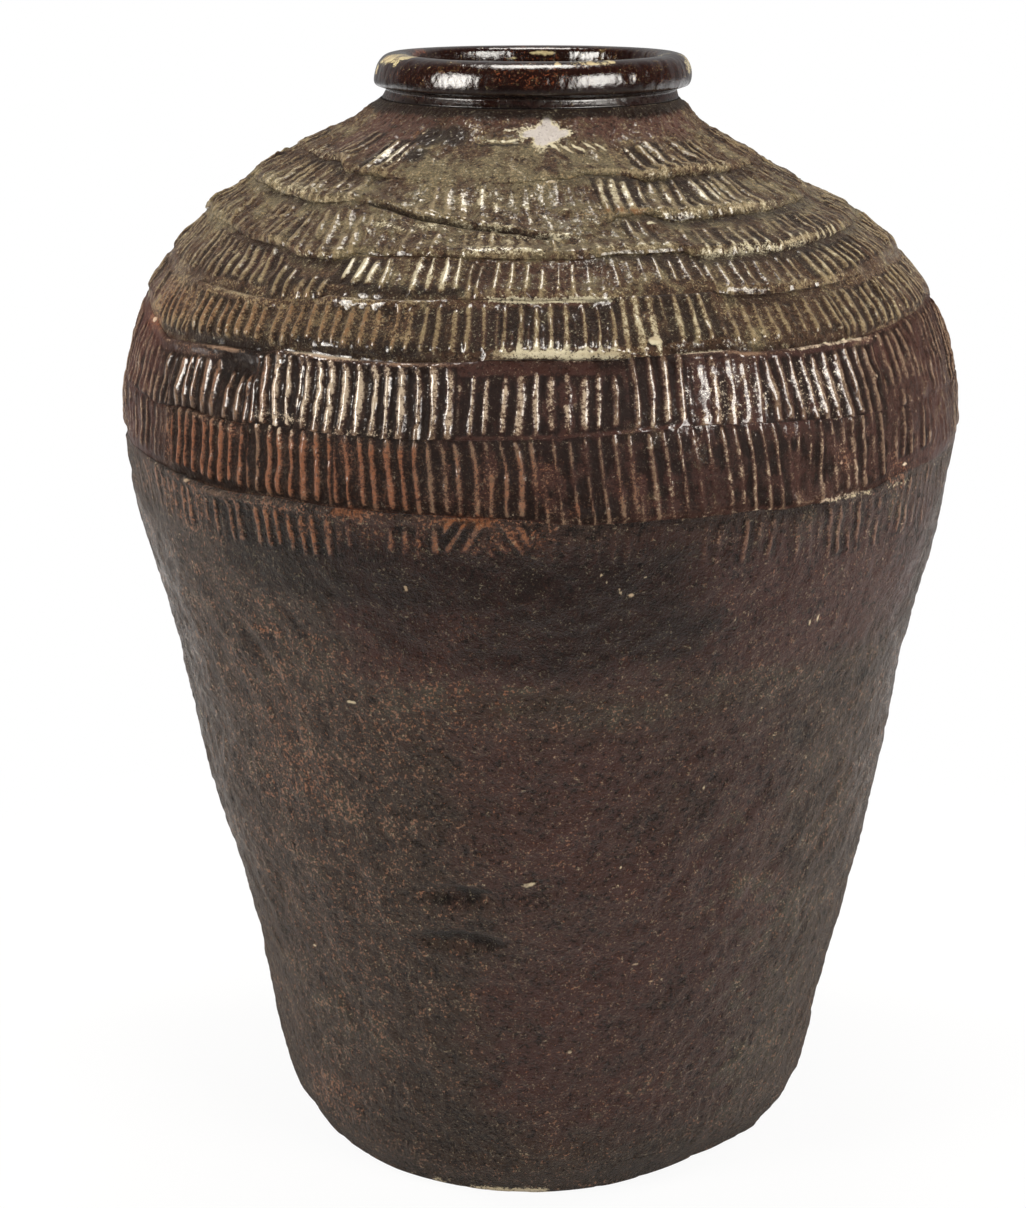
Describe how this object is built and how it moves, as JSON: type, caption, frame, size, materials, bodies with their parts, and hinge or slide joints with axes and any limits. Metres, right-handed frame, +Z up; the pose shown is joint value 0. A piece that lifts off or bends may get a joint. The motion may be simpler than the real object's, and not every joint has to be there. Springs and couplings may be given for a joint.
{
  "type": "rice wine jar",
  "caption": "Tall stoneware storage jar for rice wine: tapering wall, lapped and ribbed shoulder, short neck and thick rolled rim round an open mouth.",
  "frame": {"origin": "centre of the flat underside that the jar stands on", "axes": "+Z up the jar's axis to the mouth, -Y towards the side seen in the picture"},
  "size_m": [0.3858, 0.3858, 0.503],
  "materials": {
    "slipped_clay": "matte purple-brown slip with fine tan speckle, dry and slightly pitted",
    "brown_glaze": "glossy near-black brown glaze, worn to rust and cream on the rib crests",
    "ash_glaze": "brown glaze under a patchy olive-grey ash, satin, glossier in the hollows"
  },
  "bodies": {
    "root": {"base_slab": "slipped_clay", "heel_ring": "slipped_clay", "wall_ring_1": "slipped_clay", "wall_ring_2": "slipped_clay", "wall_ring_3": "slipped_clay", "wall_ring_4": "slipped_clay", "wall_ring_5": "slipped_clay", "belly_ring_1": "brown_glaze", "belly_ring_2": "brown_glaze", "shoulder_ring_1": "ash_glaze", "shoulder_ring_2": "ash_glaze", "shoulder_ring_3": "ash_glaze", "shoulder_ring_4": "ash_glaze", "shoulder_crown": "ash_glaze", "neck_ring": "brown_glaze", "rim_roll": "brown_glaze"}
  },
  "joints": []
}
